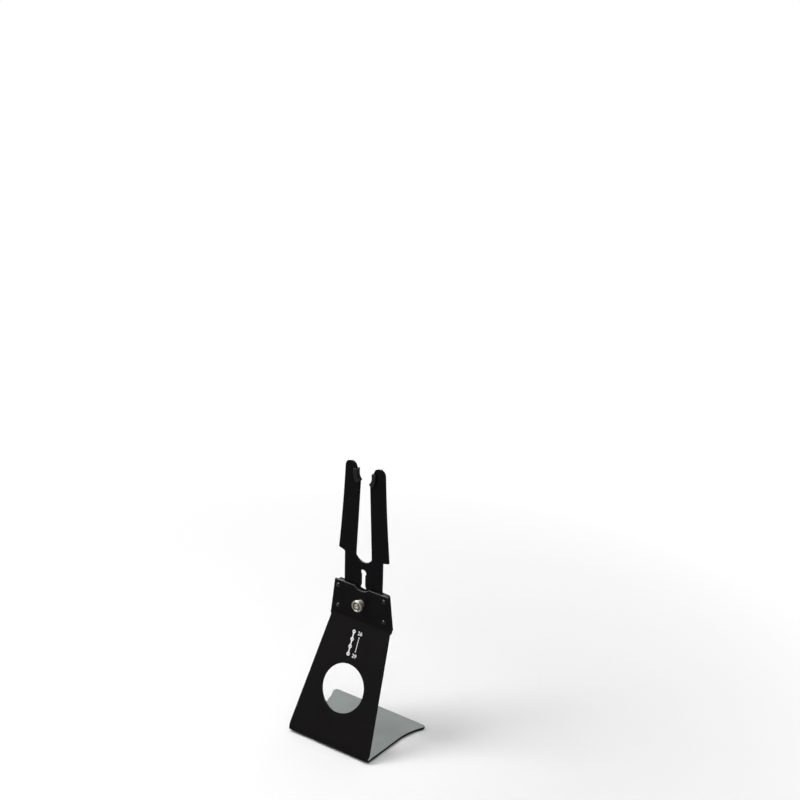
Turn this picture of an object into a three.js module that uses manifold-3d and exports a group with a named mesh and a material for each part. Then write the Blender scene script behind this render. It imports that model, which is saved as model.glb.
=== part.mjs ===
// Bike display stand: a folded steel bracket on rubber feet carries a sliding fork plate.
// A sprung pull pin in the bracket's upright head sets the fork's height.
// Millimetres, +Z up, +X to the right when seen from the front, +Y towards the wheel.
// The drawing frame has x = 0 on the stand's middle, y = 0 on the head's front face and z = 0 on the floor.
import * as THREE from 'three';
import { mergeVertices } from 'three/addons/utils/BufferGeometryUtils.js';
import Module from 'manifold-3d';

const wasm = await Module();
wasm.setup();

// Clearances
const seat = 0.1;            // paint and fit between faces that are clamped or glued together
const runningGap = 0.4;      // each side of the sliding tongue, front and back
const sideGap = 0.5;         // each side of the tongue, left and right
const boreGap = 0.3;         // round pieces in their bores
const overrun = 2;           // how far cutters reach past what they cut

// Folded bracket
const sheet = 3;
const leanDegrees = 24;      // how far the front plate leans back from upright
const footHeight = 1.5;      // gap under the floor plate, filled by the feet
const bendHeight = 165;      // where the front plate's and head's front faces meet
const headHeight = 51;       // from there to the head's top edge
const foldInnerRadius = 1.5;
const bendInnerRadius = 6;
const baseBack = 50.8;       // back edge of the floor plate, behind the head's front face
const foldHalfWidth = 66.4;
const flareOut = 0.6;        // corner of the floor plate's side beyond the fold, rounded off into a long sweep
const flareDepth = 22.6;
const flareRadius = 92;
const tipHalfWidth = 81.2;   // where the swept side would meet the back edge, before rounding
const tipRadius = 5;
const frontFootOut = 1;      // widest place of the front plate, beyond the fold
const frontFootRise = 6;     // height of that place above the fold's centre
const frontFootRadius = 8;
const frontTopHalfWidth = 48.8;
const frontTopDrop = 5;      // below the bend
const headFootHalfWidth = 50.8;
const headFootDrop = 1.5;    // below the bend
const headTopHalfWidth = 44.4;
const headFootRadius = 1.5;
const headTopRadius = 1.2;
const notchChord = 24;
const notchDepth = 5;
const windowRadius = 33.6;
const windowRise = 86.2;     // along the front plate from the floor to the window's centre

// Fork plate
const forkSheet = 3;
const tongueInset = 13.4;    // from the head's top corner
const tongueDrop = 35;       // below the pin
const tongueCorner = 3;
const shoulderOut = 10;      // beyond the tongue
const shoulderAbovePin = 69.4;
const shoulderRise = 2.5;    // the shoulder's underside climbs outwards by this much
const shoulderRadius = 1.2;
const waistHalfWidth = 34.9; // pulls the prong's outer edge inwards half way up
const hornRadius = 9;
const hornRise = 7;          // centre of the horn's round top, above the seat's centre
const seatRadius = 14;       // round seat in the plate
const seatAbovePin = 189;
const lipHalfWidth = 8.2;    // half of the gap between the prongs just below the seat
const gapHalfWidth = 13.4;
const gapFootAbovePin = 68.5;
const gapArcDepth = 7.5;

// Slot with a round lobe for each height
const lobeRadius = 4.75;
const lobeCount = 4;
const lobePitch = 22.5;
const lobeBelowCount = 1;    // lobes below the one that the pin sits in
const neckHalfWidth = 3.5;

// Channel behind the head
const coverSheet = 1.5;
const coverDrop = 2.5;       // below the bend
const coverCornerRadius = 2.5;
const stripRise = 2;         // above the bend
const stackTopLoss = 0.4;    // strips and cover stop this far below the head's top edge
const stackSideLoss = 2.5;   // and this far inside its sides
const stackTopRadius = 3.5;
const rivetInset = 6.4;      // from the head's top corner
const rivetReach = 15.5;     // above and below the pin
const rivetShankRadius = 1.7;
const rivetHeadRadius = 3.4;
const rivetHeadHeight = 2;
const rivetTailHeight = 1.2;

// Pull pin
const pinRise = 27;          // above the bend
const bushRadius = 5.6;
const bushLength = 6.9;
const bushSpigotRadius = 5.1;
const bushSpigotLoss = 0.2;
const bushBoreRadius = 4.4;
const bushCap = 1.4;
const bushChamfer = 0.5;
const knobRadius = 8.2;
const knobThickness = 3.4;
const knobEdge = 0.6;
const knobRimWidth = 2.4;
const knobGrooveDepth = 1.2;
const knobBossRadius = 3.6;
const knobDimpleRadius = 1.3;
const knobDimpleDepth = 0.6;
const knobSocketDepth = 2.4;
const spigotRadius = 2;
const shankRadius = 2.5;
const collarRadius = 4.1;
const collarLength = 2;
const neckRadius = 3.1;
const pinReach = 15;         // behind the head's front face
const pinTravel = 4;
const clipThickness = 0.9;
const clipGrooveDepth = 0.6;
const clipRadius = 5;
const clipMouth = 4;
const springWireRadius = 0.3;
const springTurns = 4;

// Rubber
const padThickness = 2;
const padGrip = 4;           // how far the pad reaches over the plate's edge
const padCreep = 0.3;        // gap between rubber and plate
const padFootAngle = -50;    // degrees below level, where the pad ends above the lip
const padChannelShare = 1.2; // the pad's channel runs this much further round, so it is open at the foot
const footRadius = 10;
const footTaper = 0.6;
const frontFootInset = 10.4; // from the fold's end
const frontFootDepth = 17;   // from the fold's front
const backFootInset = 20.5;  // from the tip of the floor plate
const backFootDepth = 13.5;  // from the floor plate's back edge

// Facets
const roundSteps = 32;
const windowSteps = 72;
const cornerSteps = 6;
const arcSteps = 14;
const springStepsPerTurn = 14;
const springSides = 6;

// Sizes that follow from the ones above
const lean = THREE.MathUtils.degToRad(leanDegrees);
const foldOuterRadius = foldInnerRadius + sheet;
const bendOuterRadius = bendInnerRadius + sheet;
const foldCentreZ = footHeight + foldOuterRadius;
const foldAlong = (foldCentreZ - bendHeight + foldOuterRadius * Math.sin(lean)) / Math.cos(lean);
const foldCentreY = foldAlong * Math.sin(lean) + foldOuterRadius * Math.cos(lean);
const foldFront = foldCentreY - foldOuterRadius;
const flareHalfWidth = foldHalfWidth + flareOut;
const frontFootHalfWidth = foldHalfWidth + frontFootOut;
const tongueHalfWidth = headTopHalfWidth - tongueInset;
const shoulderHalfWidth = tongueHalfWidth + shoulderOut;
const rivetHalfSpacing = headTopHalfWidth - rivetInset;
const bendCentreZ = bendHeight + bendInnerRadius * Math.tan(lean / 2);
const headTop = bendHeight + headHeight;
const frontTopHeight = bendHeight - frontTopDrop;
const headFootHeight = bendHeight - headFootDrop;
const pinHeight = bendHeight + pinRise;
const shoulderHeight = pinHeight + shoulderAbovePin;
const seatHeight = pinHeight + seatAbovePin;
const hornHeight = seatHeight + hornRise;
const gapFoot = pinHeight + gapFootAbovePin;
const coverFoot = bendHeight - coverDrop;
const stripFoot = bendHeight + stripRise;
const stackTop = headTop - stackTopLoss;
const windowZ = windowRise * Math.cos(lean);
const windowY = windowRise * Math.sin(lean) - bendHeight * Math.tan(lean);
const notchRadius = (notchChord * notchChord / 4 + notchDepth * notchDepth) / (2 * notchDepth);
const notchCentreZ = headTop - notchDepth + notchRadius;
const forkFront = sheet + runningGap;
const coverFront = forkFront + forkSheet + runningGap;
const coverBack = coverFront + coverSheet;
const knobBack = -bushLength - boreGap;
const knobFront = knobBack - knobThickness;
const collarNose = forkFront - boreGap;
const collarBack = collarNose - collarLength;
const clipFront = coverBack + pinTravel + boreGap;

/** Half-width of the head at a height, on the straight line of its side edge. */
function headHalfWidth(z) {
  const share = (z - headFootHeight) / (headTop - headFootHeight);
  return THREE.MathUtils.lerp(headFootHalfWidth, headTopHalfWidth, share);
}

/** Points of a circular arc in a drawing plane. */
function arcPoints(centreX, centreY, radius, startAngle, endAngle, steps) {
  const points = [];
  for (let i = 0; i <= steps; i++) {
    const angle = THREE.MathUtils.lerp(startAngle, endAngle, i / steps);
    points.push(new THREE.Vector2(centreX + radius * Math.cos(angle), centreY + radius * Math.sin(angle)));
  }
  return points;
}

/** Closed outline through [x, y, radius] corners, each rounded by its radius. */
function roundedOutline(corners) {
  const points = [];
  corners.forEach(([x, y, radius], i) => {
    const here = new THREE.Vector2(x, y);
    const [backX, backY] = corners[(i + corners.length - 1) % corners.length];
    const [aheadX, aheadY] = corners[(i + 1) % corners.length];
    const back = new THREE.Vector2(backX, backY).sub(here).normalize();
    const ahead = new THREE.Vector2(aheadX, aheadY).sub(here).normalize();
    if (radius === 0) {
      points.push(here);
      return;
    }
    const half = Math.acos(THREE.MathUtils.clamp(back.dot(ahead), -1, 1)) / 2;
    const middle = back.clone().add(ahead).normalize().multiplyScalar(radius / Math.sin(half)).add(here);
    const start = back.clone().multiplyScalar(radius / Math.tan(half)).add(here).sub(middle);
    const end = ahead.clone().multiplyScalar(radius / Math.tan(half)).add(here).sub(middle);
    const turn = Math.atan2(start.cross(end), start.dot(end));
    points.push(...arcPoints(middle.x, middle.y, radius, start.angle(), start.angle() + turn, cornerSteps));
  });
  return points;
}

/** Right half of an outline plus its mirror image, as one closed outline. */
function mirrored(rightHalf) {
  const left = rightHalf.map((point) => new THREE.Vector2(-point.x, point.y)).reverse();
  return rightHalf.concat(left);
}

/** Plain extrusion of a closed outline along the local Z axis. */
function extruded(points, depth) {
  return new THREE.ExtrudeGeometry(new THREE.Shape(points), { depth, bevelEnabled: false });
}

/** Plate drawn in (x, z), between two depths. */
function uprightPlate(points, front, back) {
  return extruded(points, back - front).rotateX(Math.PI / 2).translate(0, back, 0);
}

/** Plate drawn in (x, y), between two heights. */
function levelPlate(points, low, high) {
  return extruded(points, high - low).translate(0, 0, low);
}

/** Extrusion across the stand of a profile drawn in (y, z). */
function crossSection(points, halfWidth) {
  const turn = new THREE.Matrix4().makeBasis(
    new THREE.Vector3(0, 1, 0), new THREE.Vector3(0, 0, 1), new THREE.Vector3(1, 0, 0));
  return extruded(points, 2 * halfWidth).translate(0, 0, -halfWidth).applyMatrix4(turn);
}

/** Round bar along Y between two depths. */
function bar(radius, front, back, x, z, steps = roundSteps) {
  const length = back - front;
  return new THREE.CylinderGeometry(radius, radius, length, steps).translate(x, front + length / 2, z);
}

/** Turned piece about a Y axis at (x, z), from [radius, y] pairs. */
function turned(pairs, x, z, steps = roundSteps) {
  const points = pairs.map(([radius, y]) => new THREE.Vector2(radius, y));
  return new THREE.LatheGeometry(points, steps).translate(x, 0, z);
}

/** Closed three.js geometry as a Manifold solid. */
function solid(geometry) {
  const bare = geometry.clone();
  bare.deleteAttribute('normal');
  bare.deleteAttribute('uv');
  const merged = mergeVertices(bare);
  return new wasm.Manifold(new wasm.Mesh({
    numProp: 3,
    vertProperties: new Float32Array(merged.attributes.position.array),
    triVerts: new Uint32Array(merged.index.array),
  }));
}

/** Manifold solid back to a three.js geometry. */
function geometryOf(body) {
  const result = body.getMesh();
  const geometry = new THREE.BufferGeometry();
  geometry.setAttribute('position', new THREE.BufferAttribute(new Float32Array(result.vertProperties), 3));
  geometry.setIndex(new THREE.BufferAttribute(new Uint32Array(result.triVerts), 1));
  geometry.computeVertexNormals();
  return geometry;
}

/** A geometry with every cutter taken out of it. */
function cut(geometry, cutters) {
  return geometryOf(cutters.reduce((body, cutter) => body.subtract(solid(cutter)), solid(geometry)));
}

// Materials
const powderCoat = new THREE.MeshStandardMaterial({ color: '#1c1b1c', roughness: 0.55, metalness: 0.1 });
const blackSteel = new THREE.MeshStandardMaterial({ color: '#2a2a2c', roughness: 0.4, metalness: 0.7 });
const brightSteel = new THREE.MeshStandardMaterial({ color: '#c9c8c2', roughness: 0.25, metalness: 1 });
const springSteel = new THREE.MeshStandardMaterial({ color: '#8f9193', roughness: 0.35, metalness: 1 });
const rubber = new THREE.MeshStandardMaterial({ color: '#151515', roughness: 0.9, metalness: 0 });

const stand = new THREE.Group();
const drawing = new THREE.Group();
drawing.position.y = -(foldFront + baseBack) / 2;
stand.add(drawing);

function place(name, geometry, material) {
  const mesh = new THREE.Mesh(geometry, material);
  mesh.name = name;
  drawing.add(mesh);
}

const rivetPlaces = [];
for (const z of [pinHeight - rivetReach, pinHeight + rivetReach]) {
  for (const x of [-rivetHalfSpacing, rivetHalfSpacing]) {
    rivetPlaces.push([x, z]);
  }
}

/** Cutters for the four rivet shanks between two depths. */
function rivetBores(front, back) {
  return rivetPlaces.map(([x, z]) => bar(rivetShankRadius + boreGap, front, back, x, z));
}

/** Folded bracket: one sheet that makes the floor plate, the leaning front plate and the upright head. */
function baseBracket() {
  const side = [
    new THREE.Vector2(baseBack, footHeight),
    ...arcPoints(foldCentreY, foldCentreZ, foldOuterRadius, 1.5 * Math.PI, Math.PI - lean, arcSteps),
    ...arcPoints(-bendInnerRadius, bendCentreZ, bendInnerRadius, -lean, 0, cornerSteps),
    new THREE.Vector2(0, headTop),
    new THREE.Vector2(sheet, headTop),
    ...arcPoints(-bendInnerRadius, bendCentreZ, bendOuterRadius, 0, -lean, cornerSteps),
    ...arcPoints(foldCentreY, foldCentreZ, foldInnerRadius, Math.PI - lean, 1.5 * Math.PI, arcSteps),
    new THREE.Vector2(baseBack, footHeight + sheet),
  ];
  const bent = solid(crossSection(side.reverse(), tipHalfWidth + overrun));

  const plan = roundedOutline([
    [-foldHalfWidth, foldFront - overrun, 0],
    [foldHalfWidth, foldFront - overrun, 0],
    [flareHalfWidth, flareDepth, flareRadius],
    [tipHalfWidth, baseBack, tipRadius],
    [-tipHalfWidth, baseBack, tipRadius],
    [-flareHalfWidth, flareDepth, flareRadius],
  ]);
  const frontFootHeight = foldCentreZ + frontFootRise;
  const front = roundedOutline([
    [-foldHalfWidth, foldCentreZ - overrun, 0],
    [foldHalfWidth, foldCentreZ - overrun, 0],
    [frontFootHalfWidth, frontFootHeight, frontFootRadius],
    [frontTopHalfWidth, frontTopHeight, 0],
    [headFootHalfWidth, headFootHeight, headFootRadius],
    [headTopHalfWidth, headTop, headTopRadius],
    [-headTopHalfWidth, headTop, headTopRadius],
    [-headFootHalfWidth, headFootHeight, headFootRadius],
    [-frontTopHalfWidth, frontTopHeight, 0],
    [-frontFootHalfWidth, frontFootHeight, frontFootRadius],
  ]);
  const kept = solid(levelPlate(plan, footHeight - overrun, foldCentreZ))
    .add(solid(uprightPlate(front, foldFront - overrun, sheet + overrun)));

  const window = new THREE.CylinderGeometry(windowRadius, windowRadius, 2 * (sheet + overrun), windowSteps)
    .rotateX(-lean)
    .translate(0, windowY, windowZ);
  const notch = bar(notchRadius, -overrun, sheet + overrun, 0, notchCentreZ, windowSteps);
  const bushBore = bar(bushSpigotRadius + boreGap, -overrun, sheet + overrun, 0, pinHeight);
  return [window, notch, bushBore, ...rivetBores(-overrun, sheet + overrun)]
    .reduce((body, cutter) => body.subtract(solid(cutter)), bent.intersect(kept));
}

/** Spacer strip between head and cover on one side of the tongue; side is 1 or -1. */
function guideStrip(side) {
  const inner = tongueHalfWidth + sideGap;
  const corners = [
    [inner, stripFoot, 0],
    [headHalfWidth(stripFoot) - stackSideLoss, stripFoot, 0],
    [headHalfWidth(stackTop) - stackSideLoss, stackTop, stackTopRadius],
    [inner, stackTop, 0],
  ];
  const outline = roundedOutline(corners).map((point) => new THREE.Vector2(side * point.x, point.y));
  const blank = uprightPlate(side > 0 ? outline : outline.reverse(), sheet + seat, coverFront - seat);
  return cut(blank, rivetBores(sheet, coverFront));
}

/** Back cover that closes the channel behind the tongue. */
function coverPlate() {
  const outline = roundedOutline([
    [-headHalfWidth(coverFoot) + stackSideLoss, coverFoot, coverCornerRadius],
    [headHalfWidth(coverFoot) - stackSideLoss, coverFoot, coverCornerRadius],
    [headHalfWidth(stackTop) - stackSideLoss, stackTop, stackTopRadius],
    [-headHalfWidth(stackTop) + stackSideLoss, stackTop, stackTopRadius],
  ]);
  const back = coverBack + overrun;
  return cut(uprightPlate(outline, coverFront, coverBack), [
    bar(notchRadius, 0, back, 0, notchCentreZ, windowSteps),
    bar(neckRadius + boreGap, 0, back, 0, pinHeight),
    ...rivetBores(0, back),
  ]);
}

/** Rivet with a low dome in front, a shank through the stack and a flat tail behind. */
function rivet(x, z) {
  const sphereRadius = (rivetHeadRadius ** 2 + rivetHeadHeight ** 2) / (2 * rivetHeadHeight);
  const sweep = Math.asin(rivetHeadRadius / sphereRadius);
  const dome = [];
  for (let i = 0; i <= cornerSteps; i++) {
    const angle = sweep * i / cornerSteps;
    const rise = sphereRadius * (Math.cos(angle) - Math.cos(sweep));
    dome.push([sphereRadius * Math.sin(angle), -seat - rise]);
  }
  dome[0][0] = 0;
  const tail = coverBack + seat;
  return turned([
    ...dome,
    [rivetShankRadius, -seat],
    [rivetShankRadius, tail],
    [rivetHeadRadius, tail],
    [rivetHeadRadius, tail + rivetTailHeight],
    [0, tail + rivetTailHeight],
  ], x, z);
}

/** Sliding fork plate: tongue with the lobed slot, shoulders and two prongs with a round seat on top. */
function forkPlate() {
  const outer = new THREE.QuadraticBezierCurve(
    new THREE.Vector2(shoulderHalfWidth, shoulderHeight + shoulderRise),
    new THREE.Vector2(waistHalfWidth, (shoulderHeight + hornHeight) / 2),
    new THREE.Vector2(seatRadius + 2 * hornRadius, hornHeight),
  ).getPoints(arcSteps);
  const lipAngle = -Math.acos(lipHalfWidth / seatRadius);
  const gapRadius = (gapHalfWidth ** 2 + gapArcDepth ** 2) / (2 * gapArcDepth);
  const gapSweep = Math.asin(gapHalfWidth / gapRadius);
  const half = [
    new THREE.Vector2(tongueHalfWidth - tongueCorner, pinHeight - tongueDrop),
    new THREE.Vector2(tongueHalfWidth, pinHeight - tongueDrop + tongueCorner),
    new THREE.Vector2(tongueHalfWidth, shoulderHeight - shoulderRadius),
    new THREE.Vector2(tongueHalfWidth + shoulderRadius, shoulderHeight),
    ...outer,
    ...arcPoints(seatRadius + hornRadius, hornHeight, hornRadius, 0, Math.PI, arcSteps).slice(1),
    ...arcPoints(0, seatHeight, seatRadius, 0, lipAngle, arcSteps),
    ...arcPoints(0, gapFoot - gapArcDepth + gapRadius, gapRadius,
      gapSweep - Math.PI / 2, -Math.PI / 2, cornerSteps).slice(0, -1),
  ];
  const low = pinHeight - lobeBelowCount * lobePitch;
  const high = low + (lobeCount - 1) * lobePitch;
  const neck = [
    new THREE.Vector2(-neckHalfWidth, low),
    new THREE.Vector2(neckHalfWidth, low),
    new THREE.Vector2(neckHalfWidth, high),
    new THREE.Vector2(-neckHalfWidth, high),
  ];
  const cutters = [uprightPlate(neck, 0, coverBack)];
  for (let i = 0; i < lobeCount; i++) {
    cutters.push(bar(lobeRadius, 0, coverBack, 0, low + i * lobePitch));
  }
  return cut(uprightPlate(mirrored(half), forkFront, forkFront + forkSheet), cutters);
}

/** Rubber edge guard on one side of the seat; side is 1 or -1. */
function saddlePad(side) {
  const start = THREE.MathUtils.degToRad(padFootAngle);
  const inner = seatRadius - padThickness;
  const outer = seatRadius + padGrip;
  const slot = seatRadius - padCreep;
  const ring = (small, large, low, high) => [
    ...arcPoints(0, seatHeight, large, low, 0, arcSteps),
    new THREE.Vector2(large, high),
    new THREE.Vector2(small, high),
    ...arcPoints(0, seatHeight, small, 0, low, arcSteps),
  ].map((point) => new THREE.Vector2(side * point.x, point.y));
  const wind = (points) => (side > 0 ? points : points.reverse());
  const half = forkSheet / 2 + padCreep;
  const middle = forkFront + forkSheet / 2;
  const block = uprightPlate(wind(ring(inner, outer, start, hornHeight)),
    middle - half - padThickness, middle + half + padThickness);
  const channel = uprightPlate(wind(ring(slot, outer + overrun, padChannelShare * start, hornHeight + overrun)),
    middle - half, middle + half);
  return cut(block, [channel]);
}

/** Bright bush that is pressed into the head and houses the pin's collar and spring. */
function bush() {
  const front = -bushLength;
  return turned([
    [shankRadius + boreGap, front],
    [bushRadius - bushChamfer, front],
    [bushRadius, front + bushChamfer],
    [bushRadius, -seat],
    [bushSpigotRadius, -seat],
    [bushSpigotRadius, sheet - bushSpigotLoss],
    [bushBoreRadius, sheet - bushSpigotLoss],
    [bushBoreRadius, front + bushCap],
    [shankRadius + boreGap, front + bushCap],
    [shankRadius + boreGap, front],
  ], 0, pinHeight);
}

/** Flat pull knob with a rim, a ring groove, a centre boss and a dimple, and a blind socket behind. */
function knob() {
  const grooveOuter = knobRadius - knobRimWidth;
  const grooveFloor = knobFront + knobGrooveDepth;
  return turned([
    [0, knobFront + knobDimpleDepth],
    [knobDimpleRadius, knobFront],
    [knobBossRadius, knobFront],
    [knobBossRadius, grooveFloor],
    [grooveOuter, grooveFloor],
    [grooveOuter, knobFront],
    [knobRadius - knobEdge, knobFront],
    [knobRadius, knobFront + knobEdge],
    [knobRadius, knobBack - knobEdge],
    [knobRadius - knobEdge, knobBack],
    [spigotRadius + seat, knobBack],
    [spigotRadius + seat, knobBack - knobSocketDepth],
    [0, knobBack - knobSocketDepth],
  ], 0, pinHeight);
}

/** Lock pin: spigot in the knob, shank through the bush, collar, thin neck and a groove for the clip. */
function lockPin() {
  const grooveFront = clipFront - seat;
  const grooveBack = clipFront + clipThickness + seat;
  return turned([
    [0, knobBack - knobSocketDepth + seat],
    [spigotRadius, knobBack - knobSocketDepth + seat],
    [spigotRadius, knobBack + seat],
    [shankRadius, knobBack + seat],
    [shankRadius, collarBack],
    [collarRadius, collarBack],
    [collarRadius, collarNose],
    [neckRadius, collarNose],
    [neckRadius, grooveFront],
    [neckRadius - clipGrooveDepth, grooveFront],
    [neckRadius - clipGrooveDepth, grooveBack],
    [neckRadius, grooveBack],
    [neckRadius, pinReach],
    [0, pinReach],
  ], 0, pinHeight);
}

/** Open retaining clip in the pin's groove. */
function retainingClip() {
  const inner = neckRadius - clipGrooveDepth + seat;
  const ring = turned([
    [inner, clipFront],
    [clipRadius, clipFront],
    [clipRadius, clipFront + clipThickness],
    [inner, clipFront + clipThickness],
    [inner, clipFront],
  ], 0, pinHeight);
  const mouthDepth = clipRadius + overrun;
  const mouth = new THREE.BoxGeometry(clipMouth, clipThickness + overrun, mouthDepth)
    .translate(0, clipFront + clipThickness / 2, pinHeight - mouthDepth / 2);
  return cut(ring, [mouth]);
}

/** Compression spring between the bush's cap and the pin's collar. */
function plungerSpring() {
  const meanRadius = bushBoreRadius - boreGap - springWireRadius;
  const start = -bushLength + bushCap + springWireRadius + seat;
  const end = collarBack - springWireRadius - seat;
  const curve = new THREE.CatmullRomCurve3(Array.from({ length: springTurns * springStepsPerTurn + 1 }, (_, i) => {
    const turn = i / springStepsPerTurn;
    const angle = 2 * Math.PI * turn;
    return new THREE.Vector3(
      meanRadius * Math.cos(angle),
      THREE.MathUtils.lerp(start, end, turn / springTurns),
      pinHeight + meanRadius * Math.sin(angle));
  }));
  const wire = new THREE.Shape(arcPoints(0, 0, springWireRadius, 0, 2 * Math.PI, springSides).slice(0, -1));
  return new THREE.ExtrudeGeometry(wire, {
    steps: springTurns * springStepsPerTurn, bevelEnabled: false, extrudePath: curve });
}

/** Round rubber foot, a little narrower where it meets the floor. */
function foot(x, y) {
  return new THREE.CylinderGeometry(footRadius, footRadius - footTaper, footHeight - seat, roundSteps)
    .rotateX(Math.PI / 2)
    .translate(x, y, (footHeight - seat) / 2);
}

place('base_bracket', geometryOf(baseBracket()), powderCoat);
place('guide_strip_left', guideStrip(-1), powderCoat);
place('guide_strip_right', guideStrip(1), powderCoat);
place('cover_plate', coverPlate(), powderCoat);
rivetPlaces.forEach(([x, z], i) => {
  place(`rivet_${i + 1}`, rivet(x, z), blackSteel);
});
place('fork_plate', forkPlate(), powderCoat);
place('saddle_pad_left', saddlePad(-1), rubber);
place('saddle_pad_right', saddlePad(1), rubber);
place('plunger_bush', bush(), brightSteel);
place('pull_knob', knob(), brightSteel);
place('lock_pin', lockPin(), brightSteel);
place('retaining_clip', retainingClip(), springSteel);
place('plunger_spring', plungerSpring(), springSteel);
const footPlaces = [
  [foldHalfWidth - frontFootInset, foldFront + frontFootDepth],
  [tipHalfWidth - backFootInset, baseBack - backFootDepth],
].flatMap(([x, y]) => [[-x, y], [x, y]]);
footPlaces.forEach(([x, y], i) => {
  place(`foot_${i + 1}`, foot(x, y), rubber);
});

export default stand;
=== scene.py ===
"""Looks of the bike display stand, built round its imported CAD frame.

A folded, powder-coated bracket stands on four rubber feet. Its upright head holds a sliding fork
plate with two prongs, and a sprung pull pin locks the fork's height. Lengths are in metres in the
row frame: +Z is up, +X is to the right seen from the front, and +Y points to the back.
"""

import logging
import math
from collections.abc import Callable, Iterator, Sequence
from contextlib import contextmanager
from dataclasses import dataclass, field
from enum import Enum

import bpy
from mathutils import Matrix, Vector


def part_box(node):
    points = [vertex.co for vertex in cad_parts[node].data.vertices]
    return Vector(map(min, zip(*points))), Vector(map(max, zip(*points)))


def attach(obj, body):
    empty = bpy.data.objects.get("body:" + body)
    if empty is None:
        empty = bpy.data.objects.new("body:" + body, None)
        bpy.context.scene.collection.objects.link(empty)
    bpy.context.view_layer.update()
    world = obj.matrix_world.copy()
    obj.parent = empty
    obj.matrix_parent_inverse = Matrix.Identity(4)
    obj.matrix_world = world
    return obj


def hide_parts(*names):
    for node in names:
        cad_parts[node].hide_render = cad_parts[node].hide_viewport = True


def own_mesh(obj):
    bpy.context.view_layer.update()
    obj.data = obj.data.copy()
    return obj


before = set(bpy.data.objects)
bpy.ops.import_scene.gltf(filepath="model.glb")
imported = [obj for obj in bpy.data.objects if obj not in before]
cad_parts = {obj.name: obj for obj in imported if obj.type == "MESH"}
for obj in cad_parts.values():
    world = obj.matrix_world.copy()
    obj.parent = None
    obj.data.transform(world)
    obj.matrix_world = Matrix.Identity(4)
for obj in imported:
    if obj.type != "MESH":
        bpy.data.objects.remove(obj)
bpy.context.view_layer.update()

LOG = logging.getLogger("stand")
MM = 0.001
MICRON = 0.000001
SPIGOT_DEPTH = 2.8 * MM
SEAT_GAP = 0.1 * MM
FLAT_ANGLE = math.radians(0.5)
TURNED_ANGLE = 40.0
UP_SLOPE, UP_START = 3.0, 0.8
WAVE_FACTOR = 20.0

Colour = tuple[float, float, float]
Stretch = tuple[float, float, float]
Span = tuple[float, float]
Profile = Sequence[tuple[float, float]]


class Body(Enum):
    """CAD bodies that the pieces ride on."""

    FRAME = "frame"
    FORK = "fork"
    PLUNGER = "plunger"


class Side(Enum):
    """Sides of the stand, as they end the names of its paired pieces."""

    LEFT = "left"
    RIGHT = "right"


# Working on meshes


@contextmanager
def editing(obj: bpy.types.Object) -> Iterator[None]:
    """Edit mode on one object, with nothing of its mesh selected at the start.

    Args:
        obj: The mesh object to edit.
    """
    select_only(obj)
    bpy.ops.object.mode_set(mode="EDIT")
    bpy.ops.mesh.select_all(action="DESELECT")
    try:
        yield
    finally:
        bpy.ops.object.mode_set(mode="OBJECT")


def select_only(obj: bpy.types.Object) -> None:
    """Makes one object the selected and active one.

    Args:
        obj: The object.
    """
    bpy.ops.object.select_all(action="DESELECT")
    obj.select_set(True)
    bpy.context.view_layer.objects.active = obj


def new_piece(name: str) -> bpy.types.Object:
    """Names the object that an operator has just added, and brings its place into its mesh.

    Args:
        name: The piece's name.

    Returns:
        The piece, at the origin.
    """
    obj = bpy.context.active_object
    obj.name = name
    obj.data.name = name
    select_only(obj)
    bpy.ops.object.transform_apply(location=True, rotation=True, scale=True)
    return obj


def pick_faces(obj: bpy.types.Object, test: Callable[[bpy.types.MeshPolygon], bool]) -> None:
    """Selects, in edit mode, the faces that pass a test.

    Args:
        obj: The mesh object in edit mode.
        test: True for a face that is wanted.
    """
    bpy.ops.mesh.select_mode(type="FACE")
    bpy.ops.mesh.select_all(action="DESELECT")
    bpy.ops.object.mode_set(mode="OBJECT")
    for face in obj.data.polygons:
        face.select = test(face)
    bpy.ops.object.mode_set(mode="EDIT")


def apply_modifiers(obj: bpy.types.Object) -> None:
    """Applies every modifier of a piece in order.

    Args:
        obj: The piece.
    """
    select_only(obj)
    for modifier in list(obj.modifiers):
        bpy.ops.object.modifier_apply(modifier=modifier.name)


def round_edges(obj: bpy.types.Object, radius: float, segments: int = 3, over: float = 30.0) -> None:
    """Rounds a piece's sharp edges, shades it smooth and marks the rounded bands for wear.

    Args:
        obj: The piece, with no materials yet.
        radius: Width that the rounding takes from each side.
        segments: Steps in the rounding.
        over: Edges sharper than this many degrees are rounded.
    """
    blank = bpy.data.materials.new("band")
    obj.data.materials.clear()
    for _ in range(2):
        obj.data.materials.append(blank)
    for face in obj.data.polygons:
        face.use_smooth = True
        face.material_index = 0
    bevel = obj.modifiers.new("rounded edges", "BEVEL")
    bevel.width = radius
    bevel.segments = segments
    bevel.limit_method = "ANGLE"
    bevel.angle_limit = math.radians(over)
    bevel.use_clamp_overlap = False
    bevel.harden_normals = True
    bevel.material = 1
    apply_modifiers(obj)
    mark_wear(obj.data)
    obj.data.materials.clear()
    bpy.data.materials.remove(blank)


def mark_wear(mesh: bpy.types.Mesh) -> None:
    """Writes edge_wear: 1 on the crest of each rounded band, and 0 elsewhere.

    Args:
        mesh: The mesh, whose bands have material index 1 until this sets it back to 0.
    """
    crest = [True] * len(mesh.vertices)
    for face in mesh.polygons:
        if face.material_index == 0:
            for index in face.vertices:
                crest[index] = False
        face.material_index = 0
    mark(mesh, "edge_wear", [float(worn) for worn in crest])


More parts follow.
